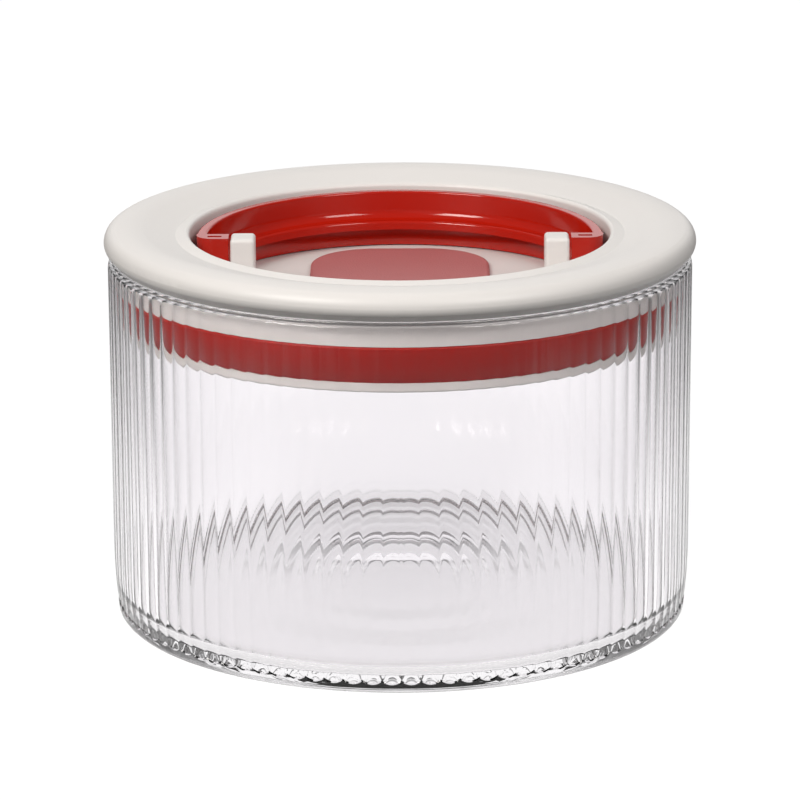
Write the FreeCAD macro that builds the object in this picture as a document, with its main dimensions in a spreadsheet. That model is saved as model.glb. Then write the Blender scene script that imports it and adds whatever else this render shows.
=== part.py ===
import FreeCAD, Part
import Sketcher
import math
import os
import re
import sys

# Glass storage jar with a press lid that a folding half-ring handle locks.
# Millimetres, +Z up, origin at the centre of the jar's foot. The front is -Y, the handle lies
# folded over the back half of the lid, and its two hinge pins run along X.

V = FreeCAD.Vector
doc = FreeCAD.newDocument("storage_jar")
sheet = doc.addObject("Spreadsheet::Sheet", "Sizes")

SIZES = [
    # Jar
    ("jar_radius", 75.0, "over the ridges between the flutes"),
    ("jar_height", 94.5, "foot to rim"),
    ("jar_wall", 4.0, "ridge to bore"),
    ("flute_count", 96, "upright flutes pressed into the wall"),
    ("flute_depth", 0.28, "ridge to the flute's middle"),
    ("foot_height", 2.8, "plain foot under the flutes"),
    ("foot_inset", 0.9, "foot's edge inside the ridges"),
    ("foot_edge", 1.9, "rounding of the foot's outer edge"),
    ("heel_height", 24.0, "stretch over which the wall draws in to the foot"),
    ("heel_inset", 1.6, "how far it draws in"),
    ("rim_band", 0.9, "plain band over the shoulder"),
    ("rim_inset", 0.9, "rim inside the ridges"),
    ("shoulder_height", 2.2, "rounded shoulder that the flutes run out on"),
    ("rim_edge", 0.7, "rounding of the rim's two edges"),
    ("base_thickness", 3.6, "glass under the cavity"),
    ("bore_corner", 5.8, "rounding between cavity wall and floor"),
    ("foot_land", 10.0, "flat ring that the jar stands on"),
    ("hollow_slope", 3.0, "width of the curved slope inside that ring"),
    ("hollow_depth", 0.3, "how high it climbs"),
    ("dish_inset", 18.7, "second slope's foot inside the first one's"),
    ("dish_slope", 10.3, "width of the second slope"),
    ("dish_depth", 0.7, "how high it climbs"),
    ("disc_inset", 17.8, "third slope's foot inside the second one's"),
    ("disc_slope", 6.7, "width of the third slope"),
    ("disc_depth", 0.5, "how high it climbs"),
    # Lid cover
    ("ring_overhang", 0.9, "cover's ring outside the flutes' ridges"),
    ("widest_rise", 3.55, "ring's widest line over the rim"),
    ("edge_radius", 3.65, "ring's outer curve"),
    ("crown_radius", 15.75, "ring's top curve"),
    ("crown_lean", 13.5, "slope at both ends of the top curve, in degrees"),
    ("under_radius", 2.55, "curve under the widest line"),
    ("lip_rise", 1.85, "ring's lower edge over the rim"),
    ("land_inset", 1.6, "seating land inside the ridges"),
    ("shelf_width", 17.1, "jar bore to well wall"),
    ("step_width", 3.7, "step round the well"),
    ("step_drop", 2.55, "step's crease under the ring's top"),
    ("step_rise", 0.7, "how far the step climbs to the well's edge"),
    ("step_edge", 1.0, "rounding of the step into the well"),
    ("well_depth", 16.2, "well's edge to its floor"),
    ("cover_wall", 2.2, "cover's wall"),
    ("floor_thickness", 2.5, "well floor"),
    ("skirt_gap", 0.4, "skirt to jar bore"),
    ("skirt_depth", 6.7, "skirt under the rim"),
    # Seal and clamp plate
    ("seal_height", 9.7, "seal, squeezed"),
    ("seal_width", 4.4, "seal, across its section"),
    ("seal_gap", 0.25, "seal's top to jar bore"),
    ("seal_taper", 2.1, "seal's foot inside its top"),
    ("seal_edge", 0.5, "rounding of the seal's outer edges"),
    ("plate_thickness", 2.4, "clamp plate"),
    ("plate_inset", 0.2, "plate's edge inside the seal's foot"),
    ("plate_edge", 0.6, "rounding of the plate's lower edge"),
    ("upstand_drop", 1.2, "top of the wall inside the seal, under the seal's top"),
    ("upstand_gap", 0.3, "that wall to the seal"),
    # Posts
    ("post_width", 6.3, "along the hinge"),
    ("post_depth", 8.0, "across the hinge"),
    ("post_edge", 1.0, "rounding of the post's upright and top edges"),
    ("slot_gap", 0.35, "post to its slot in the well floor"),
    # Handle
    ("handle_gap", 1.7, "handle to well wall"),
    ("handle_wall", 2.6, "upright wall of the handle"),
    ("handle_drop", 1.4, "handle's top under the well's edge"),
    ("handle_rest", 0.3, "handle's wall over the well floor"),
    ("handle_edge", 0.5, "rounding of the top rim"),
    ("grip_reach", 3.6, "finger lip inside the wall"),
    ("grip_thickness", 2.3, "finger lip"),
    ("grip_rise", 5.2, "finger lip over the well floor"),
    ("grip_cove", 2.4, "hollow between lip and wall"),
    ("grip_edge", 0.7, "rounding of the lip's front edge"),
    ("tab_width", 8.3, "tab along the hinge"),
    ("tab_thickness", 5.4, "tab, front to back"),
    ("tab_gap", 0.5, "tab to post"),
    ("tab_slot_rim", 1.8, "tab's side to the core slot in its top"),
    ("tab_slot_length", 3.6, "core slot"),
    ("tab_slot_width", 1.5, "core slot"),
    ("tab_slot_depth", 3.0, "core slot"),
    # Hinge and cam
    ("pivot_setback", 1.4, "hinge line in front of the lid's centre line"),
    ("cam_low", 4.5, "hinge line over the cam's foot, handle folded"),
    ("cam_drop", 1.5, "plate's travel as the handle stands up"),
    ("cam_gap", 0.1, "cam to well floor"),
    ("boss_wall", 2.0, "tab's wall behind the pin"),
    ("pin_radius", 1.5, "hinge pin"),
    ("pin_gap", 0.05, "running gap in the tab"),
    ("pin_reach", 4.3, "pin inside the tab"),
    ("pin_end_gap", 0.5, "pin's end to the bottom of its hole"),
    ("pin_inset", 0.3, "pin's inner end inside the post"),
    ("pin_chamfer", 0.25, "pin's ends"),
    # Pad
    ("pad_side_gap", 13.6, "pad to post"),
    ("pad_end_gap", 8.6, "pad to the handle's wall"),
    ("pad_flat", 6.5, "half of the straight stretch at its front and back"),
    ("pad_seat", 0.6, "recess in the well floor"),
    ("pad_rise", 1.4, "pad over the well floor"),
    ("pad_edge", 1.0, "rounding of its top edge"),
]

for row, (alias, value, note) in enumerate(SIZES, start=1):
    sheet.set("A%d" % row, alias)
    sheet.set("B%d" % row, str(value))
    sheet.set("C%d" % row, note)
    sheet.setAlias("B%d" % row, alias)
doc.recompute()

NAMES = {alias for alias, value, note in SIZES}
LEAN = "%.12f" % math.sqrt(0.5)

# Places that several pieces share, worked out from the sizes above
PLACES = {
    "bore_radius": "(jar_radius - jar_wall)",
    "flute_radius": "(jar_radius - flute_depth)",
    "foot_radius": "(jar_radius - foot_inset)",
    "rim_radius": "(jar_radius - rim_inset)",
    "hollow_radius": "(foot_radius - foot_edge - foot_land)",
    "dish_radius": "(hollow_radius - dish_inset)",
    "disc_radius": "(dish_radius - disc_inset)",
    "ring_radius": "(jar_radius + ring_overhang)",
    "widest_z": "(jar_height + widest_rise)",
    "edge_centre": "(ring_radius - edge_radius)",
    "crown_centre": "(edge_centre - (crown_radius - edge_radius) * sin(crown_lean))",
    "crown_centre_z": "(widest_z - (crown_radius - edge_radius) * cos(crown_lean))",
    "crease_z": "(crown_centre_z + crown_radius - step_drop)",
    "opening_radius": "(bore_radius - shelf_width)",
    "opening_z": "(crease_z + step_rise)",
    "crease_radius": "(opening_radius + step_width)",
    "floor_z": "(opening_z - well_depth)",
    "skirt_radius": "(bore_radius - skirt_gap)",
    "skirt_z": "(jar_height - skirt_depth)",
    "seal_radius": "(bore_radius - seal_gap)",
    "seal_z": "(skirt_z - seal_height)",
    "plate_z": "(seal_z - plate_thickness)",
    "plate_radius": "(seal_radius - seal_taper - plate_inset)",
    "upstand_radius": "(seal_radius - seal_width - upstand_gap)",
    "handle_radius": "(opening_radius - handle_gap)",
    "handle_inner": "(handle_radius - handle_wall)",
    "handle_top": "(opening_z - handle_drop)",
    "grip_radius": "(handle_inner - grip_reach)",
    "grip_z": "(floor_z + grip_rise)",
    "pivot_z": "(floor_z + cam_gap + cam_low)",
    "cam_high": "(cam_low - cam_drop)",
    "cam_slope": "(cam_drop / (pi / 2))",
    "tab_x": "(handle_radius - tab_width)",
    "tab_front": "(-pivot_setback - cam_high)",
    "post_outer": "(tab_x - tab_gap)",
    "post_inner": "(post_outer - post_width)",
    "post_front": "(-pivot_setback - post_depth / 2)",
    "post_back": "(-pivot_setback + post_depth / 2)",
    "pin_start": "(post_inner + pin_inset)",
    "pad_x": "(post_inner - pad_side_gap)",
    "pad_y": "(handle_inner - pad_end_gap)",
    "pad_corner": "(pad_x - pad_flat)",
}
WORD = re.compile(r"\b[a-z][a-z_]*\b")


def spell(text):
    """Write a formula in the sheet's own names."""
    while any(word in PLACES for word in WORD.findall(text)):
        text = WORD.sub(lambda found: PLACES.get(found.group(0), found.group(0)), text)
    return WORD.sub(lambda found: "Sizes." * (found.group(0) in NAMES) + found.group(0), text)


def val(text):
    """The number that a formula gives now."""
    result = sheet.evalExpression(spell(text))
    return float(getattr(result, "Value", result))


def tie(thing, path, text):
    """Bind one property to a formula."""
    thing.setExpression(path, spell(text))


def new_body(name):
    body = doc.addObject("PartDesign::Body", name)
    body.Label = name
    return body


def new_sketch(body, name, role, height=None):
    """Lay a sketch on one of its body's origin planes, raised along the plane's normal."""
    sketch = body.newObject("Sketcher::SketchObject", name)
    plane = [item for item in body.Origin.OriginFeatures if item.Role == role][0]
    sketch.AttachmentSupport = [(plane, "")]
    sketch.MapMode = "FlatFace"
    if height is not None:
        sketch.AttachmentOffset = FreeCAD.Placement(V(0, 0, val(height)), FreeCAD.Rotation())
        tie(sketch, "AttachmentOffset.Base.z", height)
    return sketch


def hold(sketch, geometry, end, x, y):
    """Hold one point of a sketch at two formulas."""
    for kind, text in (("DistanceX", x), ("DistanceY", y)):
        index = sketch.addConstraint(Sketcher.Constraint(kind, geometry, end, val(text)))
        tie(sketch, "Constraints[%d]" % index, text)


def outline(sketch, steps):
    """Draw a closed outline. A step is (x, y) for the end of a line, or (x, y, mid_x, mid_y) for
    the end of an arc through a middle point. The last step joins the first."""
    spots = [V(val(step[0]), val(step[1]), 0) for step in steps]
    edges = []
    heads = []
    for k, start in enumerate(spots):
        after = (k + 1) % len(steps)
        if len(steps[after]) == 4:
            middle = V(val(steps[after][2]), val(steps[after][3]), 0)
            edge = sketch.addGeometry(Part.Arc(start, middle, spots[after]), False)
        else:
            edge = sketch.addGeometry(Part.LineSegment(start, spots[after]), False)
        # An arc is kept counter-clockwise, so either of its ends can be the one drawn first
        heads.append(1 if sketch.getPoint(edge, 1).distanceToPoint(start) < 1e-6 else 2)
        edges.append(edge)
    for k, step in enumerate(steps):
        before = k - 1
        joint = Sketcher.Constraint("Coincident", edges[before], 3 - heads[before], edges[k], heads[k])
        sketch.addConstraint(joint)
        hold(sketch, edges[k], heads[k], step[0], step[1])
        if len(step) == 4:
            middle = sketch.addGeometry(Part.Point(V(val(step[2]), val(step[3]), 0)), True)
            sketch.addConstraint(Sketcher.Constraint("PointOnObject", middle, 1, edges[before]))
            hold(sketch, middle, 1, step[2], step[3])


def rounding(x, y, radius, side, rise):
    """Middle point of a quarter round about (x, y); side and rise are +1 or -1."""
    return "%s + %d * %s * %s" % (x, side, radius, LEAN), "%s + %d * %s * %s" % (y, rise, radius, LEAN)


def circle(sketch, x, y, radius):
    edge = sketch.addGeometry(Part.Circle(V(val(x), val(y), 0), V(0, 0, 1), val(radius)), False)
    hold(sketch, edge, 3, x, y)
    index = sketch.addConstraint(Sketcher.Constraint("Radius", edge, val(radius)))
    tie(sketch, "Constraints[%d]" % index, radius)


def rectangle(sketch, x0, x1, y0, y1):
    outline(sketch, [(x0, y0), (x1, y0), (x1, y1), (x0, y1)])


def extruded(body, kind, name, sketch, length, reversed_=False, middle=False):
    """Pad or pocket a sketch, and stop if it changed nothing."""
    before = body.Shape.Volume if body.Tip else 0.0
    made = body.newObject("PartDesign::" + kind, name)
    made.Profile = sketch
    made.Length = val(length)
    tie(made, "Length", length)
    made.Reversed = reversed_
    made.Midplane = middle
    doc.recompute()
    if abs(made.Shape.Volume - before) < 1e-3:
        raise ValueError(name + " changes nothing")
    return made


def revolved(body, name, steps, angle=360.0):
    """Turn an outline in the XZ plane about the upright axis."""
    sketch = new_sketch(body, name + "_outline", "XZ_Plane")
    outline(sketch, steps)
    turned = body.newObject("PartDesign::Revolution", name)
    turned.Profile = sketch
    turned.ReferenceAxis = (sketch, ["V_Axis"])
    turned.Angle = angle
    doc.recompute()
    return turned


def softened(body, kind, name, wanted, path, radius):
    """Fillet or chamfer the edges of the body's latest feature that a test picks."""
    base = body.Tip
    names = []
    for number, edge in enumerate(base.Shape.Edges, start=1):
        middle = edge.valueAt((edge.FirstParameter + edge.LastParameter) / 2)
        if wanted(edge, middle):
            names.append("Edge%d" % number)
    if not names:
        raise ValueError("no edges for " + name)
    made = body.newObject("PartDesign::" + kind, name)
    made.Base = (base, names)
    setattr(made, path, val(radius))
    tie(made, path, radius)
    doc.recompute()
    return made


def near(a, b):
    return abs(a - b) < 1e-3


def turned_part(name, steps):
    """Solid of revolution about the upright axis, from a sketch of its own."""
    sketch = doc.addObject("Sketcher::SketchObject", name + "_outline")
    sketch.Placement = FreeCAD.Placement(V(0, 0, 0), FreeCAD.Rotation(V(1, 0, 0), 90))
    outline(sketch, steps)
    solid = doc.addObject("Part::Revolution", name)
    solid.Source = sketch
    solid.Axis = V(0, 0, 1)
    solid.Angle = 360
    solid.Solid = True
    return solid


def flute_ring(name, ridge, middle, height):
    """Closed outline of the fluted wall at one height, with one arc for each flute."""
    count = int(val("flute_count"))
    pitch = 2 * math.pi / count
    outer = val(ridge)
    inner = val(middle)
    z = val(height)

    def at(radius, turn):
        return V(radius * math.cos(turn), radius * math.sin(turn), z)

    arcs = [Part.Arc(at(outer, k * pitch), at(inner, (k + 0.5) * pitch), at(outer, (k + 1) * pitch))
            for k in range(count)]
    ring = doc.addObject("Part::Feature", name)
    ring.Shape = Part.Wire([arc.toShape() for arc in arcs])
    return ring


def quarter(share):
    """How far a quarter round of unit size has turned in, a share of the way along it."""
    return 1 - math.sqrt(1 - share * share)


def make_jar_body():
    """One piece of glass: fluted outside, smooth bore, flat base with a foot ring, plain rim."""
    rings = []
    # Near the foot the flutes and ridges draw in along a quarter ellipse
    for share in (1.0, 0.93, 0.7, 0.0):
        inset = "heel_inset * %.6f" % quarter(share)
        height = "foot_height + heel_height * %.6f" % (1 - share)
        name = "heel_ring_%d" % (share * 100)
        rings.append(flute_ring(name, "jar_radius - " + inset, "flute_radius - " + inset, height))
    # On the rounded shoulder the ridges sink first, and the flutes' middles follow
    for share in (0.0, 0.72, 0.94, 1.0):
        drop = "rim_inset * %.6f" % quarter(share)
        height = "jar_height - rim_band - shoulder_height * %.6f" % (1 - share)
        middle = "jar_radius - max(flute_depth; %s)" % drop
        rings.append(flute_ring("shoulder_ring_%d" % (share * 100), "jar_radius - " + drop, middle, height))
    wall = doc.addObject("Part::Loft", "fluted_wall")
    wall.Sections = rings
    wall.Solid = True
    wall.Ruled = True

    foot_turn = "foot_radius - foot_edge"
    foot = turned_part("foot_band", [
        ("0", "0"),
        (foot_turn, "0"),
        ("foot_radius", "foot_edge") + rounding(foot_turn, "foot_edge", "foot_edge", 1, -1),
        ("foot_radius", "foot_height"),
        ("0", "foot_height"),
    ])
    rim_turn = "rim_radius - rim_edge"
    rim_low = "jar_height - rim_edge"
    rim = turned_part("plain_rim", [
        ("0", "jar_height - rim_band"),
        ("rim_radius", "jar_height - rim_band"),
        ("rim_radius", rim_low),
        (rim_turn, "jar_height") + rounding(rim_turn, rim_low, "rim_edge", 1, 1),
        ("0", "jar_height"),
    ])
    outside = doc.addObject("Part::MultiFuse", "jar_outside")
    outside.Shapes = [foot, wall, rim]

    corner_r = "bore_radius - bore_corner"
    corner_z = "base_thickness + bore_corner"
    mouth = "bore_radius + rim_edge"
    bore = turned_part("jar_bore", [
        ("0", "base_thickness"),
        (corner_r, "base_thickness"),
        ("bore_radius", corner_z) + rounding(corner_r, corner_z, "bore_corner", 1, -1),
        ("bore_radius", rim_low),
        (mouth, "jar_height") + rounding(mouth, rim_low, "rim_edge", -1, 1),
        (mouth, "jar_height + rim_edge"),
        ("0", "jar_height + rim_edge"),
    ])
    dish_z = "(hollow_depth + dish_depth)"
    disc_z = "(hollow_depth + dish_depth + disc_depth)"
    hollow = turned_part("base_hollow", [
        ("0", "-hollow_depth"),
        ("hollow_radius", "-hollow_depth"),
        ("hollow_radius", "0"),
        ("hollow_radius - hollow_slope", "hollow_depth",
         "hollow_radius - hollow_slope / 2", "hollow_depth * 3 / 4"),
        ("dish_radius", "hollow_depth"),
        ("dish_radius - dish_slope", dish_z,
         "dish_radius - dish_slope / 2", "hollow_depth + dish_depth * 3 / 4"),
        ("disc_radius", dish_z),
        ("disc_radius - disc_slope", disc_z,
         "disc_radius - disc_slope / 2", dish_z + " + disc_depth * 3 / 4"),
        ("0", disc_z),
    ])
    opened = doc.addObject("Part::Cut", "jar_opened")
    opened.Base = outside
    opened.Tool = bore
    jar = doc.addObject("Part::Cut", "jar_body")
    jar.Base = opened
    jar.Tool = hollow
    jar.Label = "jar_body"
    return jar


def make_lid_cover():
    """Bulged ring, step, well and skirt in one moulding, with two slots for the posts."""
    body = new_body("lid_cover")
    well_out = "opening_radius + cover_wall"
    skirt_in = "skirt_radius - cover_wall"
    lip_low = "jar_height + lip_rise"
    lip_turn = "ring_radius - under_radius"
    lip_r = lip_turn + " + sqrt(under_radius ^ 2 - (widest_rise - lip_rise) ^ 2)"
    half_drop = "(widest_rise - lip_rise) / 2"
    revolved(body, "cover_turned", [
        ("0", "floor_z"),
        ("opening_radius", "floor_z"),
        ("opening_radius", "opening_z - step_edge"),
        ("opening_radius + step_edge", "opening_z")
        + rounding("opening_radius + step_edge", "opening_z - step_edge", "step_edge", -1, 1),
        ("crease_radius", "crease_z"),
        ("crown_centre - crown_radius * sin(crown_lean)", "crown_centre_z + crown_radius * cos(crown_lean)"),
        ("crown_centre + crown_radius * sin(crown_lean)", "crown_centre_z + crown_radius * cos(crown_lean)",
         "crown_centre", "crown_centre_z + crown_radius"),
        ("ring_radius", "widest_z",
         "edge_centre + edge_radius * %s" % LEAN, "widest_z + edge_radius * %s" % LEAN),
        (lip_r, lip_low,
         "%s + sqrt(under_radius ^ 2 - (%s) ^ 2)" % (lip_turn, half_drop), "widest_z - " + half_drop),
        ("jar_radius - land_inset", "jar_height"),
        ("skirt_radius", "jar_height"),
        ("skirt_radius", "skirt_z"),
        (skirt_in, "skirt_z"),
        (skirt_in, "widest_z"),
        ("crown_centre - crown_radius * sin(crown_lean)",
         "crown_centre_z + crown_radius * cos(crown_lean) - cover_wall"),
        ("crease_radius", "crease_z - cover_wall"),
        (well_out, "crease_z - cover_wall"),
        (well_out, "floor_z - floor_thickness"),
        ("0", "floor_z - floor_thickness"),
    ])

    slots = new_sketch(body, "post_slot_outlines", "XY_Plane", "floor_z")
    for sign in ("", "-"):
        rectangle(slots, sign + "(post_inner - slot_gap)", sign + "(post_outer + slot_gap)",
                  "post_front - slot_gap", "post_back + slot_gap")
    extruded(body, "Pocket", "post_slots", slots, "floor_thickness * 2")

    seat = new_sketch(body, "pad_seat_outline", "XY_Plane", "floor_z")
    pad_outline(seat)
    extruded(body, "Pocket", "pad_recess", seat, "pad_seat")
    return body


def pad_outline(sketch):
    """Rounded rectangle that the pad and its seat share."""
    steps = []
    for x_sign, y_sign in ((1, -1), (1, 1), (-1, 1), (-1, -1)):
        x = "%d * pad_x" % x_sign
        y = "%d * pad_y" % y_sign
        turn_x = "%d * (pad_x - pad_corner)" % x_sign
        turn_y = "%d * (pad_y - pad_corner)" % y_sign
        middle = rounding(turn_x, turn_y, "pad_corner", x_sign, y_sign)
        if x_sign * y_sign < 0:
            steps += [(turn_x, y), (x, turn_y) + middle]
        else:
            steps += [(x, turn_y), (turn_x, y) + middle]
    outline(sketch, steps)


def make_centre_pad():
    """Soft pad let into the well floor."""
    body = new_body("centre_pad")
    shape = new_sketch(body, "pad_shape", "XY_Plane", "floor_z - pad_seat")
    pad_outline(shape)
    extruded(body, "Pad", "pad_slab", shape, "pad_seat + pad_rise")
    top = val("floor_z + pad_rise")
    softened(body, "Fillet", "pad_soft_edge", lambda edge, mid: near(mid.z, top), "Radius", "pad_edge")
    return body


def make_seal_ring():
    """Silicone band squeezed between the cover's skirt and the clamp plate."""
    body = new_body("seal_ring")
    turn = "seal_radius - seal_edge"
    revolved(body, "seal_turned", [
        ("seal_radius - seal_width", "seal_z"),
        (turn + " - seal_taper", "seal_z"),
        ("seal_radius - seal_taper", "seal_z + seal_edge")
        + rounding(turn + " - seal_taper", "seal_z + seal_edge", "seal_edge", 1, -1),
        ("seal_radius", "skirt_z - seal_edge * 3"),
        ("seal_radius", "skirt_z - seal_edge"),
        (turn, "skirt_z") + rounding(turn, "skirt_z - seal_edge", "seal_edge", 1, 1),
        ("seal_radius - seal_width", "skirt_z"),
    ])
    return body


def make_clamp_plate():
    """Plate under the seal, with the wall inside the seal and the two hinge posts."""
    body = new_body("clamp_plate")
    turn = "plate_radius - plate_edge"
    revolved(body, "plate_turned", [
        ("0", "plate_z"),
        (turn, "plate_z"),
        ("plate_radius", "plate_z + plate_edge")
        + rounding(turn, "plate_z + plate_edge", "plate_edge", 1, -1),
        ("plate_radius", "seal_z"),
        ("upstand_radius", "seal_z"),
        ("upstand_radius", "skirt_z - upstand_drop"),
        ("upstand_radius - cover_wall", "skirt_z - upstand_drop"),
        ("upstand_radius - cover_wall", "seal_z"),
        ("0", "seal_z"),
    ])

    feet = new_sketch(body, "post_outlines", "XY_Plane", "seal_z")
    for sign in ("", "-"):
        rectangle(feet, sign + "post_inner", sign + "post_outer", "post_front", "post_back")
    extruded(body, "Pad", "posts", feet, "handle_top - seal_z")
    top = val("handle_top")
    low = val("floor_z")
    sides = (val("post_front"), val("post_back"))

    def soft(edge, mid):
        upright = abs(edge.tangentAt(edge.FirstParameter).z) > 0.99
        return near(mid.z, top) or (upright and mid.z > low and any(near(mid.y, y) for y in sides))

    softened(body, "Fillet", "post_soft_edges", soft, "Radius", "post_edge")

    holes = new_sketch(body, "pin_hole_outline", "YZ_Plane")
    circle(holes, "-pivot_setback", "pivot_z", "pin_radius")
    extruded(body, "Pocket", "pin_holes", holes, "handle_radius * 2", middle=True)
    return body


def make_handle():
    """Half ring with a finger lip, and at each end a tab whose cam bears on the well floor."""
    body = new_body("handle")
    lip_top = "grip_z + grip_thickness"
    cove_z = lip_top + " + grip_cove"
    cove_r = "handle_inner - grip_cove"
    rim_low = "handle_top - handle_edge"
    arc = revolved(body, "grip_arc", [
        ("handle_radius", "floor_z + handle_rest"),
        ("handle_radius", rim_low),
        ("handle_radius - handle_edge", "handle_top")
        + rounding("handle_radius - handle_edge", rim_low, "handle_edge", 1, 1),
        ("handle_inner + handle_edge", "handle_top"),
        ("handle_inner", rim_low) + rounding("handle_inner + handle_edge", rim_low, "handle_edge", -1, 1),
        ("handle_inner", cove_z),
        (cove_r, lip_top) + rounding(cove_r, cove_z, "grip_cove", 1, -1),
        ("grip_radius + grip_edge", lip_top),
        ("grip_radius", lip_top + " - grip_edge")
        + rounding("grip_radius + grip_edge", lip_top + " - grip_edge", "grip_edge", -1, 1),
        ("grip_radius", "grip_z"),
        ("handle_inner", "grip_z"),
        ("handle_inner", "floor_z + handle_rest"),
    ], 180.0)
    if arc.Shape.BoundBox.YMax < val("handle_inner"):
        arc.Reversed = not arc.Reversed
        doc.recompute()

    # Seen from the side, each tab stands on a cam about the hinge line. As the handle turns, the
    # floor nears the hinge line evenly, so the cam's edge is a spiral. An arc through the
    # spiral's ends and its middle keeps within 0.03 mm of it.
    back = "tab_front + tab_thickness"
    boss_back = "-pivot_setback + pin_radius + boss_wall"
    boss_top = "pivot_z + pin_radius + boss_wall"
    foot = "pivot_z - cam_low"
    half_way = "(cam_low + cam_high) / 2"
    side = new_sketch(body, "tab_side", "YZ_Plane")
    outline(side, [
        ("-pivot_setback + cam_slope", foot,
         "-pivot_setback - (%s - cam_slope) * %s" % (half_way, LEAN),
         "pivot_z - (%s + cam_slope) * %s" % (half_way, LEAN)),
        (boss_back, foot),
        (boss_back, boss_top),
        (back, boss_top + " + boss_wall"),
        (back, "handle_top"),
        ("tab_front", "handle_top"),
        ("tab_front", "pivot_z - cam_slope"),
    ])
    extruded(body, "Pad", "tab_bar", side, "(handle_radius + handle_wall) * 2", middle=True)

    # Cut from above, the bar becomes two tabs that end on the handle's own radius
    trim = new_sketch(body, "tab_trim_outline", "XY_Plane", "handle_top")
    rectangle(trim, "-tab_x", "tab_x", "tab_front * 2", boss_back + " + boss_wall")
    for sign in ("", "-"):
        turn_x = "(handle_radius + tab_front)"
        outline(trim, [
            (sign + "handle_radius", "0",
             "%s(%s - tab_front * %s)" % (sign, turn_x, LEAN), "tab_front * %s" % LEAN),
            (sign + "handle_radius * cos(6)", "handle_radius * sin(6)",
             sign + "handle_radius * cos(3)", "handle_radius * sin(3)"),
            (sign + "(handle_radius + handle_wall * 2)", "handle_radius * sin(6)"),
            (sign + "(handle_radius + handle_wall * 2)", "tab_front * 2"),
            (sign + turn_x, "tab_front * 2"),
            (sign + turn_x, "tab_front"),
        ])
    extruded(body, "Pocket", "tab_trim", trim, "handle_top - floor_z + floor_thickness")

    slots = new_sketch(body, "tab_slot_outlines", "XY_Plane", "handle_top")
    slot_y = "tab_front + tab_thickness / 2"
    for sign in ("", "-"):
        rectangle(slots, sign + "(tab_x + tab_slot_rim)", sign + "(tab_x + tab_slot_rim + tab_slot_length)",
                  slot_y + " - tab_slot_width / 2", slot_y + " + tab_slot_width / 2")
    extruded(body, "Pocket", "tab_slots", slots, "tab_slot_depth")

    holes = new_sketch(body, "tab_hole_outline", "YZ_Plane")
    circle(holes, "-pivot_setback", "pivot_z", "pin_radius + pin_gap")
    extruded(body, "Pocket", "tab_holes", holes, "(tab_x + pin_reach + pin_end_gap) * 2", middle=True)
    return body


def make_pivot_pin(side):
    """Short steel pin, pressed into a post, on which one tab turns."""
    body = new_body("pivot_pin_" + side)
    left = side == "left"
    section = new_sketch(body, side + "_pin_outline", "YZ_Plane", "-pin_start" if left else "pin_start")
    circle(section, "-pivot_setback", "pivot_z", "pin_radius")
    extruded(body, "Pad", side + "_pin_rod", section, "tab_x + pin_reach - pin_start", reversed_=left)
    softened(body, "Chamfer", side + "_pin_ends", lambda edge, mid: len(edge.Vertexes) == 1, "Size",
             "pin_chamfer")
    return body


PIECES = [
    make_jar_body(),
    make_lid_cover(),
    make_centre_pad(),
    make_seal_ring(),
    make_clamp_plate(),
    make_handle(),
    make_pivot_pin("left"),
    make_pivot_pin("right"),
]

doc.recompute()
faults = []
for item in doc.Objects:
    if "Invalid" in item.State or "Error" in item.State:
        faults.append("%s: %s" % (item.Label, ", ".join(item.State)))
for piece in PIECES:
    if piece.Shape.isNull() or not piece.Shape.isValid():
        faults.append(piece.Label + ": no valid shape")
    elif len(piece.Shape.Solids) != 1:
        faults.append("%s: %d solids" % (piece.Label, len(piece.Shape.Solids)))
if faults:
    print("\n".join(faults))
    sys.exit(1)

os.makedirs("parts", exist_ok=True)
for piece in PIECES:
    piece.Shape.exportStep("parts/%s.step" % piece.Label)
    box = piece.Shape.BoundBox
    print("%-16s %10.1f mm3   x %7.2f %7.2f   y %7.2f %7.2f   z %7.2f %7.2f" % (
        piece.Label, piece.Shape.Volume, box.XMin, box.XMax, box.YMin, box.YMax, box.ZMin, box.ZMax))
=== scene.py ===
import math

import bmesh
import bpy
from mathutils import Matrix, Vector


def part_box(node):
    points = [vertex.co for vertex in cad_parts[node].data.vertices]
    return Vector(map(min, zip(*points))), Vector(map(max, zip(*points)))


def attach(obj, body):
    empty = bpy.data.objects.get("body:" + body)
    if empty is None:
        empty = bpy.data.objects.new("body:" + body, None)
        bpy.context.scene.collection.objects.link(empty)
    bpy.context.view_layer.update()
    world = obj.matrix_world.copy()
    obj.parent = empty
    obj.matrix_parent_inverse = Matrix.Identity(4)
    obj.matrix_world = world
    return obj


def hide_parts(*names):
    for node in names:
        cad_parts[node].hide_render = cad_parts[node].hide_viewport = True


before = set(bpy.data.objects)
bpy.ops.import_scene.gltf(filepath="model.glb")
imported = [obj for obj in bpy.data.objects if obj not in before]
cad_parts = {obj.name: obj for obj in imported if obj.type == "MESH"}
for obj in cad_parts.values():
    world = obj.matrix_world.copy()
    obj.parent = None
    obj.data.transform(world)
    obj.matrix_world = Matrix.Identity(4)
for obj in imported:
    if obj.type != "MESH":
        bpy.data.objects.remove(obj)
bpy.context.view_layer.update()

# Fluted glass storage jar with a press lid. Metres, +Z up, the front towards -Y.
MM = 0.001
ORIGIN = (0, 0, 0)
JAR_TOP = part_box("jar_body")[1][2]

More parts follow.
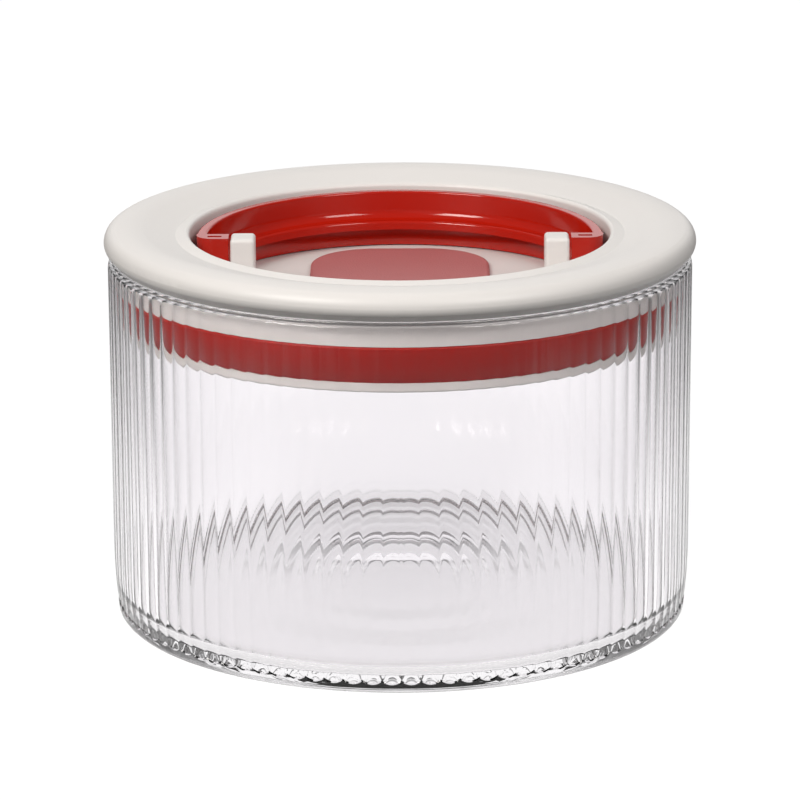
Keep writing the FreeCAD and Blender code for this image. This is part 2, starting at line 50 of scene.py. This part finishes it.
# Wall of the jar, as the part's source has it
JAR_RADIUS = 75.0 * MM
GLASS_WALL = 4.0 * MM
BORE_RADIUS = JAR_RADIUS - GLASS_WALL
FLUTES = 96
FLUTE_DEPTH = 0.28 * MM
FLUTE_STEPS = 10
FLUTE_END = 0.9 * MM
FLUTE_END_REACH = 4 * FLUTE_END
HEEL_HEIGHT = 24.0 * MM
HEEL_INSET = 1.0 * MM
HEEL_POWER = 4
HEEL_TURNS = (0, 12, 22, 32, 42, 54, 68, 90)

# Foot and rim
FOOT_RADIUS = JAR_RADIUS - 0.9 * MM
FOOT_HEIGHT = 2.8 * MM
FOOT_EDGE = 1.9 * MM
FOOT_STEPS = 12
FOOT_LINE = 0.3 * MM
RIM_RADIUS = JAR_RADIUS - 0.9 * MM
RIM_BAND = 0.9 * MM
RIM_EDGE = 0.7 * MM
RIM_STEPS = 6
WALL_TOP = JAR_TOP - RIM_BAND
SHOULDER = 2.2 * MM
SHOULDER_TURNS = (0, 15, 30, 45, 55, 65, 75, 83, 90)

# Base, with three steps under it
BASE_THICKNESS = 3.6 * MM
BORE_CORNER = 5.8 * MM
CORNER_STEPS = 14
FLOOR_LOOP = 40.0 * MM
HOLLOW_RADIUS = 62.2 * MM
HOLLOW_SLOPE = 3.0 * MM
HOLLOW_DEPTH = 0.3 * MM
DISH_RADIUS = 43.5 * MM
DISH_SLOPE = 10.3 * MM
DISH_DEPTH = 0.7 * MM
DISC_RADIUS = 25.7 * MM
DISC_SLOPE = 6.7 * MM
DISC_DEPTH = 0.5 * MM

# Seal, squeezed under the cover's skirt
SKIRT_LOW = 87.8 * MM
SEAL_LOW = 78.1 * MM
SEAL_TOP_RADIUS = 70.75 * MM
SEAL_LOW_RADIUS = 68.6 * MM
SEAL_WIDTH = 4.4 * MM
SEAL_EDGE = 0.5 * MM
SEAL_BAND = 1.0 * MM
SEAL_STEPS = 240

# Mesh: loops beside each slope keep the flats' shading flat
EDGE_LOOP = 0.05 * MM
ROW_SLACK = 0.1 * MM
WELD = 1e-7
CREASE = 32.0

# Looks of the glass and the pins
GLASS_TINT = (0.985, 0.968, 0.985, 1)
GLASS_IOR = 1.5
GLASS_SHADOW = (0.72, 0.72, 0.72, 1)
STEEL_GREY = (0.6, 0.6, 0.6, 1)
STEEL_ROUGHNESS = 0.3
CLOUD_SCALE = 28.0
CLOUD_DETAIL = 3.0
GRAIN_DETAIL = 2.0
GRAIN_DISTANCE = 0.0002

# Floor: a fade is given as where it starts and where it is full
FLOOR_SIZE = 6.0
FLOOR_GAP = 0.1 * MM
FLOOR_GREY = (0.12, 0.12, 0.12, 1)
FLOOR_GLOW = 0.94
FLOOR_LOSS = 0.9
# Painted shadow under the jar: glow taken away there, and the radii where it fades in
UNDER_JAR_PAINTED_SHADOW = 0.26
UNDER_JAR_SHADOW_FADE = (0.082, 0.066)
DARK_AHEAD = (-0.11, -0.17)
DARK_RIGHT = (-0.36, -0.06)
FLOOR_WIDTH = (0.12, 0.24)
LEFT_LOSS = 0.8

# Surroundings, in directions seen from the jar
SKY_HEIGHT = (0.4, 0.6)
SKY_RIGHT = (-0.7, 0.1)
SKY_AHEAD = (0.4, -0.2)
SKY_WIDTH = (0.3, 0.55)
BACKDROP_LOSS = 0.85
AMBIENT = (0.34, 0.34, 0.34, 1)

# Lamps: name, place, width, height, watts, colour
LAMP_TARGET = (0, 0, 0.06)
LAMPS = (
    ("key_left", (-0.8, -0.85, 1.05), 0.6, 0.6, 15.5, (1.0, 0.965, 0.92)),
    ("fill_right", (0.7, -0.85, 0.95), 0.5, 0.5, 6.5, (1.0, 0.97, 0.94)),
    ("top_back", (-0.1, 0.8, 1.1), 0.8, 0.5, 1.2, (1.0, 1.0, 1.0)),
)

# Camera: degrees down and rolled, height that it looks at, distance, lens in millimetres
CAMERA_DOWN = 15.623
CAMERA_ROLL = -0.233
CAMERA_AIM = 54.6 * MM
CAMERA_AWAY = 1085.6 * MM
CAMERA_LENS = 188.26
CAMERA_SENSOR = 36.0
CAMERA_SHIFT = -0.0007
CAMERA_END = 20.0

# Bounces of light: it runs a long way inside thick glass before it leaves
MAX_BOUNCES = 32
GLOSSY_BOUNCES = 16
GLASS_BOUNCES = 24


def cosine(angle):
    """Cosine of an angle in degrees."""
    return math.cos(math.radians(angle))


def arc(cx, cz, radius, start, end, steps):
    """Points of an arc in the XZ plane, angles in degrees from +X."""
    points = []
    for k in range(steps + 1):
        turn = math.radians(start + (end - start) * k / steps)
        points.append((cx + radius * math.cos(turn), cz + radius * math.sin(turn)))
    return points


def sunk(radius, slope, low, depth):
    """Straight slope from a flat at its inner end down to a lower flat at radius."""
    inner = radius - slope
    return [
        (inner - EDGE_LOOP, low + depth),
        (inner + EDGE_LOOP, low + depth * (1 - EDGE_LOOP / slope)),
        (radius - EDGE_LOOP, low + depth * EDGE_LOOP / slope),
        (radius + EDGE_LOOP, low),
    ]


def spun(profile, steps):
    """Mesh of a profile in the XZ plane, spun right round the Z axis."""
    bm = bmesh.new()
    verts = [bm.verts.new((x, 0, z)) for x, z in profile]
    edges = [bm.edges.new(pair) for pair in zip(verts, verts[1:])]
    bmesh.ops.spin(
        bm,
        geom=verts + edges,
        cent=ORIGIN,
        axis=(0, 0, 1),
        angle=2 * math.pi,
        steps=steps,
        use_merge=True,
    )
    # The profile's ends meet on the axis or each other
    bmesh.ops.remove_doubles(bm, verts=bm.verts, dist=WELD)
    return bm


def new_object(bm, name, material):
    """Put a finished mesh into the scene."""
    mesh = bpy.data.meshes.new(name)
    bm.to_mesh(mesh)
    bm.free()
    mesh.materials.append(material)
    made = bpy.data.objects.new(name, mesh)
    bpy.context.scene.collection.objects.link(made)
    return made


def finish_piece(bm, name, material, body, node):
    """Turn a mesh into a smooth shaded piece that stands for a CAD node."""
    bmesh.ops.recalc_face_normals(bm, faces=bm.faces)
    for face in bm.faces:
        face.smooth = True
    for edge in bm.edges:
        if len(edge.link_faces) == 2 and edge.calc_face_angle(0) > math.radians(CREASE):
            edge.smooth = False
    piece = new_object(bm, name, material)
    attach(piece, body)
    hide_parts(node)


def heel_inset(z):
    """How far the wall has drawn in at height z, near the foot."""
    share = 1 - (z - FOOT_HEIGHT) / HEEL_HEIGHT
    if share <= 0:
        return 0.0
    return HEEL_INSET * min(share, 1.0) ** HEEL_POWER


def plain_radius(z):
    """Outside of the wall as it would be without flutes."""
    share = 1 - (WALL_TOP - z) / SHOULDER
    if share <= 0:
        return JAR_RADIUS - heel_inset(z)
    share = min(share, 1.0)
    return RIM_RADIUS + (JAR_RADIUS - RIM_RADIUS) * math.sqrt(1 - share * share)


def off_middle(turn):
    """Place across a flute: 0 in its middle, 1 on the ridge at either side."""
    pitch = 2 * math.pi / FLUTES
    return abs((turn / pitch) % 1.0 - 0.5) * 2


def press_flutes(bm):
    """Press shallow flutes into the outside of the wall, with round lower ends."""
    lowest = FOOT_HEIGHT - FOOT_LINE - ROW_SLACK
    for vert in bm.verts:
        r = math.hypot(vert.co.x, vert.co.y)
        z = vert.co.z
        if r < BORE_RADIUS + RIM_EDGE or z < lowest or z > WALL_TOP - WELD:
            continue
        across = off_middle(math.atan2(vert.co.y, vert.co.x))
        reach = r
        if z > FOOT_HEIGHT - ROW_SLACK:
            flute = JAR_RADIUS - heel_inset(z) - FLUTE_DEPTH * (1 - across * across)
            reach = min(plain_radius(z), flute)
        vert.co.x *= reach / r
        vert.co.y *= reach / r
        lift = 1 - (z - FOOT_HEIGHT) / FLUTE_END_REACH
        vert.co.z += FLUTE_END * across * across * max(0.0, min(1.0, lift))


def glass_jar(material):
    """Jar in one piece, from the middle of its underside round to the middle of its floor."""
    bore = BORE_RADIUS
    profile = [(0.0, HOLLOW_DEPTH + DISH_DEPTH + DISC_DEPTH)]
    profile += sunk(DISC_RADIUS, DISC_SLOPE, HOLLOW_DEPTH + DISH_DEPTH, DISC_DEPTH)
    profile += sunk(DISH_RADIUS, DISH_SLOPE, HOLLOW_DEPTH, DISH_DEPTH)
    profile += sunk(HOLLOW_RADIUS, HOLLOW_SLOPE, 0.0, HOLLOW_DEPTH)
    profile.append((FOOT_RADIUS - FOOT_EDGE - EDGE_LOOP, 0.0))
    profile += arc(FOOT_RADIUS - FOOT_EDGE, FOOT_EDGE, FOOT_EDGE, -90, 0, FOOT_STEPS)
    profile.append((FOOT_RADIUS, FOOT_HEIGHT - FOOT_LINE))
    heel = [FOOT_HEIGHT + HEEL_HEIGHT * (1 - cosine(turn)) for turn in HEEL_TURNS]
    shoulder = [WALL_TOP - SHOULDER * cosine(turn) for turn in SHOULDER_TURNS]
    profile += [(plain_radius(z), z) for z in heel + shoulder]
    profile += arc(RIM_RADIUS - RIM_EDGE, JAR_TOP - RIM_EDGE, RIM_EDGE, 0, 90, RIM_STEPS)
    profile += arc(bore + RIM_EDGE, JAR_TOP - RIM_EDGE, RIM_EDGE, 90, 180, RIM_STEPS)
    profile += arc(bore - BORE_CORNER, BASE_THICKNESS + BORE_CORNER, BORE_CORNER, 0, -90, CORNER_STEPS)
    profile.append((bore - BORE_CORNER - EDGE_LOOP, BASE_THICKNESS))
    profile += [(FLOOR_LOOP, BASE_THICKNESS), (0.0, BASE_THICKNESS)]
    bm = spun(profile, FLUTES * FLUTE_STEPS)
    press_flutes(bm)
    finish_piece(bm, "jar_glass", material, "jar", "jar_body")


def seal(material):
    """Silicone band, a little narrower at its foot."""
    inner = SEAL_TOP_RADIUS - SEAL_WIDTH
    profile = [
        (inner, SEAL_LOW),
        (SEAL_LOW_RADIUS - SEAL_EDGE, SEAL_LOW),
        (SEAL_LOW_RADIUS, SEAL_LOW + SEAL_EDGE),
        (SEAL_TOP_RADIUS, SKIRT_LOW - SEAL_EDGE - SEAL_BAND),
        (SEAL_TOP_RADIUS, SKIRT_LOW - SEAL_EDGE),
        (SEAL_TOP_RADIUS - SEAL_EDGE, SKIRT_LOW),
        (inner, SKIRT_LOW),
        (inner, SEAL_LOW),
    ]
    bm = spun(profile, SEAL_STEPS)
    finish_piece(bm, "seal_band", material, "lid", "seal_ring")


def feed(tree, socket, value):
    """Join an input to another node's output, or set it to a plain value."""
    if isinstance(value, bpy.types.NodeSocket):
        tree.links.new(value, socket)
    else:
        socket.default_value = value


def add_node(tree, kind, inputs=None, **settings):
    """Node with its settings, then its inputs, which are outputs of other nodes or plain values."""
    node = tree.nodes.new(kind)
    for name, value in settings.items():
        setattr(node, name, value)
    for name, value in (inputs or {}).items():
        feed(tree, node.inputs[name], value)
    return node


def maths(tree, operation, first, second, clamp=False):
    """Result of one sum on two numbers."""
    node = add_node(tree, "ShaderNodeMath", {0: first, 1: second}, operation=operation, use_clamp=clamp)
    return node.outputs[0]


def fade(tree, value, ends):
    """0 before the first end, 1 past the second, and a smooth rise between."""
    limits = {"Value": value, "From Min": ends[0], "From Max": ends[1]}
    node = add_node(tree, "ShaderNodeMapRange", limits, interpolation_type="SMOOTHSTEP")
    return node.outputs["Result"]


def split(tree, place):
    """X, Y and Z of a place."""
    return add_node(tree, "ShaderNodeSeparateXYZ", {0: place}).outputs


def seen_directly(tree, path):
    """1 for rays that come from the camera, a mirror or glass, 0 for light that bounces."""
    mirrored = maths(tree, "MAXIMUM", path["Is Camera Ray"], path["Is Glossy Ray"])
    return maths(tree, "MAXIMUM", mirrored, path["Is Transmission Ray"])


def moulded_surface():
    """Node group: slight colour and gloss variation, and a fine grain for moulded plastic."""
    group = bpy.data.node_groups.new("moulded_surface", "ShaderNodeTree")
    takes = (
        ("Colour", "NodeSocketColor", (0.8, 0.8, 0.8, 1)),
        ("Roughness", "NodeSocketFloat", 0.3),
        ("Variation", "NodeSocketFloat", 0.04),
        ("Grain size", "NodeSocketFloat", 4000.0),
        ("Grain height", "NodeSocketFloat", 0.1),
    )
    gives = (
        ("Colour", "NodeSocketColor"),
        ("Roughness", "NodeSocketFloat"),
        ("Normal", "NodeSocketVector"),
    )
    for name, kind, value in takes:
        socket = group.interface.new_socket(name=name, in_out="INPUT", socket_type=kind)
        socket.default_value = value
    for name, kind in gives:
        group.interface.new_socket(name=name, in_out="OUTPUT", socket_type=kind)
    given = add_node(group, "NodeGroupInput").outputs
    made = add_node(group, "NodeGroupOutput").inputs
    where = add_node(group, "ShaderNodeTexCoord").outputs["Object"]

    # Soft clouds shift the colour's brightness and the gloss
    cloud = add_node(
        group, "ShaderNodeTexNoise", {"Vector": where, "Scale": CLOUD_SCALE, "Detail": CLOUD_DETAIL}
    )
    centred = maths(group, "SUBTRACT", cloud.outputs["Fac"], 0.5)
    amount = maths(group, "MULTIPLY", centred, given["Variation"])
    bright = maths(group, "ADD", amount, 1.0)
    tint = add_node(
        group, "ShaderNodeVectorMath", {0: given["Colour"], "Scale": bright}, operation="SCALE"
    )
    feed(group, made["Colour"], tint.outputs[0])
    gloss = maths(group, "ADD", given["Roughness"], amount, clamp=True)
    feed(group, made["Roughness"], gloss)

    # Fine grain
    grain = add_node(
        group,
        "ShaderNodeTexNoise",
        {"Vector": where, "Scale": given["Grain size"], "Detail": GRAIN_DETAIL},
    )
    bump = add_node(
        group,
        "ShaderNodeBump",
        {"Distance": GRAIN_DISTANCE, "Height": grain.outputs["Fac"], "Strength": given["Grain height"]},
    )
    feed(group, made["Normal"], bump.outputs["Normal"])
    return group


def new_material(name, values):
    """Material with these values in its Principled shader."""
    material = bpy.data.materials.new(name)
    material.use_nodes = True
    tree = material.node_tree
    shader = tree.nodes["Principled BSDF"]
    for socket, value in values.items():
        feed(tree, shader.inputs[socket], value)
    return material, tree, shader


def moulded(name, group, colour, roughness, variation, grain_size, grain_height, ior=1.5):
    """Moulded plastic or silicone with the shared surface group."""
    material, tree, shader = new_material(name, {"IOR": ior})
    values = {
        "Colour": (*colour, 1),
        "Roughness": roughness,
        "Variation": variation,
        "Grain size": grain_size,
        "Grain height": grain_height,
    }
    surface = add_node(tree, "ShaderNodeGroup", values, node_tree=group)
    feed(tree, shader.inputs["Base Color"], surface.outputs["Colour"])
    feed(tree, shader.inputs["Roughness"], surface.outputs["Roughness"])
    feed(tree, shader.inputs["Normal"], surface.outputs["Normal"])
    return material


def clear_glass():
    """Pressed glass. Shadow rays pass, so what stands in the jar is lit through its wall."""
    values = {
        "Base Color": GLASS_TINT,
        "Roughness": 0.0,
        "IOR": GLASS_IOR,
        "Transmission Weight": 1.0,
    }
    material, tree, shader = new_material("clear_glass", values)
    path = add_node(tree, "ShaderNodeLightPath").outputs
    passing = add_node(tree, "ShaderNodeBsdfTransparent", {"Color": GLASS_SHADOW})
    mixed = {0: path["Is Shadow Ray"], 1: shader.outputs[0], 2: passing.outputs[0]}
    choice = add_node(tree, "ShaderNodeMixShader", mixed)
    feed(tree, tree.nodes["Material Output"].inputs["Surface"], choice.outputs[0])
    return material


def pin_steel():
    """Ground steel of the hinge pins."""
    values = {"Base Color": STEEL_GREY, "Metallic": 1.0, "Roughness": STEEL_ROUGHNESS}
    return new_material("pin_steel", values)[0]


def floor_glow(tree):
    """Strength of the floor's own light. It dims for rays that the glass mirrors or bends."""
    where = add_node(tree, "ShaderNodeTexCoord").outputs["Object"]
    path = add_node(tree, "ShaderNodeLightPath").outputs
    place = split(tree, where)
    unseen = maths(tree, "SUBTRACT", 1.0, path["Is Camera Ray"])
    # A dark room in front, with a bright side at the left, and dark strips far to both sides
    ahead = fade(tree, place["Y"], DARK_AHEAD)
    right = fade(tree, place["X"], DARK_RIGHT)
    right = maths(tree, "MAXIMUM", right, LEFT_LOSS)
    sideways = maths(tree, "ABSOLUTE", place["X"], 0.0)
    aside = fade(tree, sideways, FLOOR_WIDTH)
    corner = maths(tree, "MULTIPLY", ahead, right)
    dark = maths(tree, "MAXIMUM", corner, aside)
    dark = maths(tree, "MULTIPLY", dark, unseen)
    loss = maths(tree, "MULTIPLY", dark, FLOOR_LOSS)
    # Painted shadow: the floor's glow is lowered under the jar, where less light reaches it
    reach = add_node(tree, "ShaderNodeVectorMath", {0: where}, operation="LENGTH")
    under = fade(tree, reach.outputs["Value"], UNDER_JAR_SHADOW_FADE)
    under = maths(tree, "MULTIPLY", under, unseen)
    under = maths(tree, "MULTIPLY", under, UNDER_JAR_PAINTED_SHADOW)
    loss = maths(tree, "MAXIMUM", loss, under)
    left = maths(tree, "SUBTRACT", FLOOR_GLOW, loss)
    return maths(tree, "MULTIPLY", left, seen_directly(tree, path))


def white_floor():
    """Pale floor that keeps the jar's shadow."""
    values = {
        "Base Color": FLOOR_GREY,
        "Roughness": 1.0,
        "Specular IOR Level": 0.0,
        "Emission Color": (1, 1, 1, 1),
    }
    material, tree, shader = new_material("studio_floor", values)
    feed(tree, shader.inputs["Emission Strength"], floor_glow(tree))
    bm = bmesh.new()
    bmesh.ops.create_grid(bm, x_segments=1, y_segments=1, size=FLOOR_SIZE)
    floor = new_object(bm, "studio_floor", material)
    floor.location.z = -FLOOR_GAP


def studio_world():
    """White backdrop for the camera, mirrors and glass, dark overhead, ahead and far to the sides."""
    world = bpy.data.worlds.new("studio")
    world.use_nodes = True
    bpy.context.scene.world = world
    tree = world.node_tree
    where = add_node(tree, "ShaderNodeTexCoord").outputs["Generated"]
    path = add_node(tree, "ShaderNodeLightPath").outputs
    place = split(tree, where)
    height = fade(tree, place["Z"], SKY_HEIGHT)
    right = fade(tree, place["X"], SKY_RIGHT)
    right = maths(tree, "MAXIMUM", right, LEFT_LOSS)
    ahead = fade(tree, place["Y"], SKY_AHEAD)
    aside = maths(tree, "MULTIPLY", right, ahead)
    dark = maths(tree, "MAXIMUM", height, aside)
    sideways = maths(tree, "ABSOLUTE", place["X"], 0.0)
    wide = fade(tree, sideways, SKY_WIDTH)
    dark = maths(tree, "MAXIMUM", dark, wide)
    loss = maths(tree, "MULTIPLY", dark, BACKDROP_LOSS)
    bright = maths(tree, "SUBTRACT", 1.0, loss)
    # Light that bounces meets an even, dim room instead
    sight = {"Factor": seen_directly(tree, path), "A": AMBIENT, "B": bright}
    blend = add_node(tree, "ShaderNodeMix", sight, data_type="RGBA")
    feed(tree, tree.nodes["Background"].inputs["Color"], blend.outputs["Result"])


def soft_box(name, place, width, height, watts, colour):
    """Rectangular lamp that faces the jar."""
    lamp = bpy.data.lights.new(name, "AREA")
    lamp.shape = "RECTANGLE"
    lamp.size = width
    lamp.size_y = height
    lamp.energy = watts
    lamp.color = colour
    box = bpy.data.objects.new(name, lamp)
    aim = Vector(LAMP_TARGET) - Vector(place)
    turned = aim.to_track_quat("-Z", "Y").to_matrix().to_4x4()
    box.matrix_world = Matrix.Translation(place) @ turned
    bpy.context.scene.collection.objects.link(box)


def camera():
    """Long lens in front of the jar, looking down on it."""
    down = math.radians(CAMERA_DOWN)
    roll = math.radians(CAMERA_ROLL)
    ahead = Vector((0, math.cos(down), -math.sin(down)))
    right = Vector((1, 0, 0))
    up = right.cross(ahead)
    x_axis = right * math.cos(roll) + up * math.sin(roll)
    y_axis = up * math.cos(roll) - right * math.sin(roll)
    place = Vector((0, 0, CAMERA_AIM)) - ahead * CAMERA_AWAY
    lens = bpy.data.cameras.new("camera")
    lens.sensor_width = CAMERA_SENSOR
    lens.lens = CAMERA_LENS
    lens.shift_x = CAMERA_SHIFT
    lens.clip_end = CAMERA_END
    eye = bpy.data.objects.new("camera", lens)
    eye.matrix_world = Matrix((
        (x_axis.x, y_axis.x, -ahead.x, place.x),
        (x_axis.y, y_axis.y, -ahead.y, place.y),
        (x_axis.z, y_axis.z, -ahead.z, place.z),
        (0, 0, 0, 1),
    ))
    bpy.context.scene.collection.objects.link(eye)
    bpy.context.scene.camera = eye


scene = bpy.context.scene
scene.view_settings.view_transform = "Standard"
scene.cycles.max_bounces = MAX_BOUNCES
scene.cycles.glossy_bounces = GLOSSY_BOUNCES
scene.cycles.transmission_bounces = GLASS_BOUNCES
scene.cycles.transparent_max_bounces = GLASS_BOUNCES
camera()
studio_world()
white_floor()
for lamp in LAMPS:
    soft_box(*lamp)

surface = moulded_surface()
white_plastic = moulded(
    "white_plastic",
    surface,
    colour=(0.76, 0.735, 0.715),
    roughness=0.38,
    variation=0.03,
    grain_size=4200.0,
    grain_height=0.22,
)
red_plastic = moulded(
    "red_plastic",
    surface,
    colour=(0.42, 0.009, 0.002),
    roughness=0.12,
    variation=0.02,
    grain_size=900.0,
    grain_height=0.02,
)
red_silicone = moulded(
    "red_silicone",
    surface,
    colour=(0.40, 0.006, 0.001),
    roughness=0.42,
    variation=0.04,
    grain_size=3000.0,
    grain_height=0.04,
    ior=1.38,
)
# Pad colour: partly its own red, partly painted sheen, lightened to pink for the pale sheen across its
# top
red_pad = moulded(
    "red_pad",
    surface,
    colour=(0.46, 0.14, 0.14),
    roughness=0.45,
    variation=0.10,
    grain_size=2200.0,
    grain_height=1.0,
)
steel = pin_steel()
seal(red_silicone)

FINISHES = {
    "lid_cover": white_plastic,
    "clamp_plate": white_plastic,
    "centre_pad": red_pad,
    "handle": red_plastic,
    "pivot_pin_left": steel,
    "pivot_pin_right": steel,
}
for node, finish in FINISHES.items():
    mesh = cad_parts[node].data
    mesh.materials.clear()
    mesh.materials.append(finish)

glass_jar(clear_glass())
